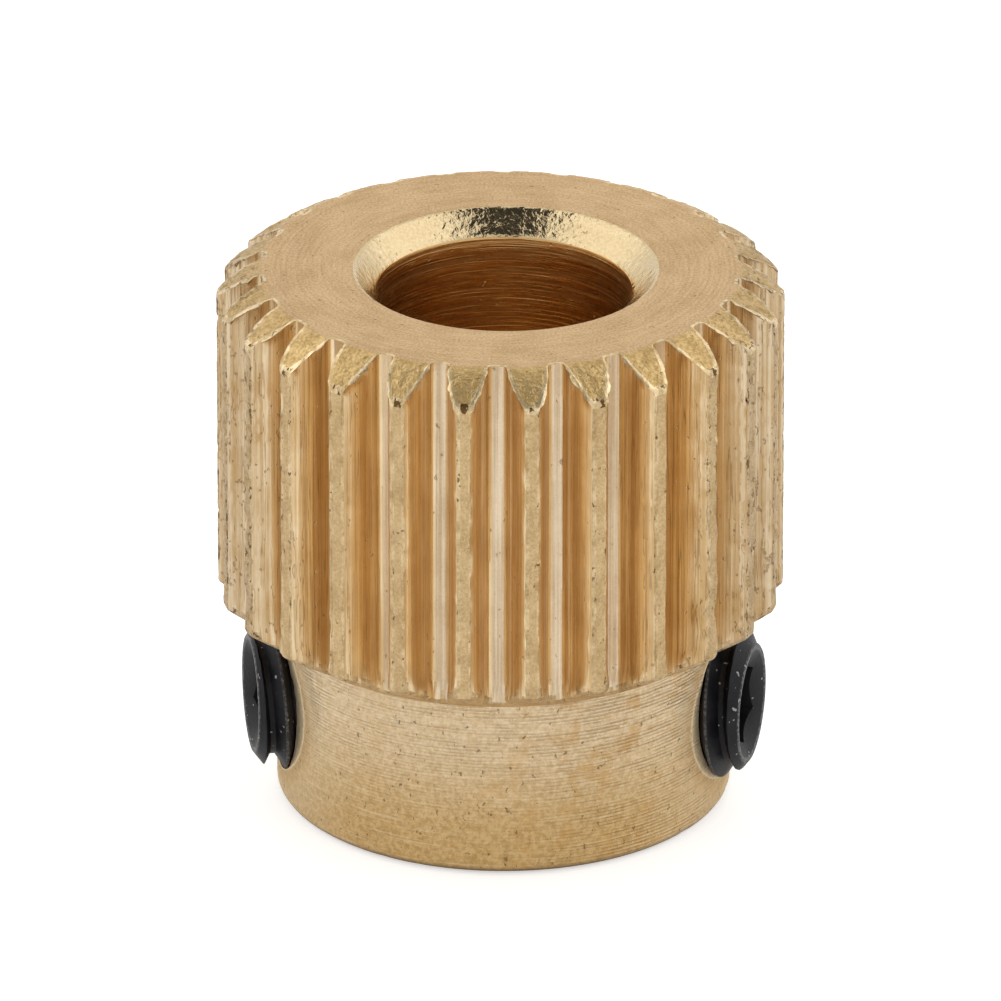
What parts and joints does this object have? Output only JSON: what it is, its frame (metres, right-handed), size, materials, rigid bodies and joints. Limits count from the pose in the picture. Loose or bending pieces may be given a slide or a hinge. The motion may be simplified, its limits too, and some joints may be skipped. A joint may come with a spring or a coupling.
{
  "type": "extruder drive gear",
  "caption": "Straight-toothed brass drive gear with a plain bore and a smaller hub below the teeth, clamped to its shaft by radial hex-socket set screws.",
  "frame": {"origin": "centre of the hub's bottom face, on the gear's axis", "axes": "+Z along the gear's axis, from the hub towards the toothed end; -Y points midway between the two set screws"},
  "size_m": [0.0112, 0.011, 0.011],
  "materials": {
    "brass": "turned, matte satin",
    "black_oxide_steel": "black oxide, semi-gloss"
  },
  "bodies": {
    "gear": {"gear_body": "brass"},
    "left_screw": {"set_screw_left": "black_oxide_steel"},
    "right_screw": {"set_screw_right": "black_oxide_steel"}
  },
  "joints": [
    {"name": "left_screw_travel", "type": "slide", "parent": "gear", "child": "left_screw", "axis": [-0.9799, -0.1994, 0], "range_m": [-0.0005, 0.002]},
    {"name": "right_screw_travel", "type": "slide", "parent": "gear", "child": "right_screw", "axis": [0.9799, -0.1994, 0], "range_m": [-0.0005, 0.002]}
  ]
}
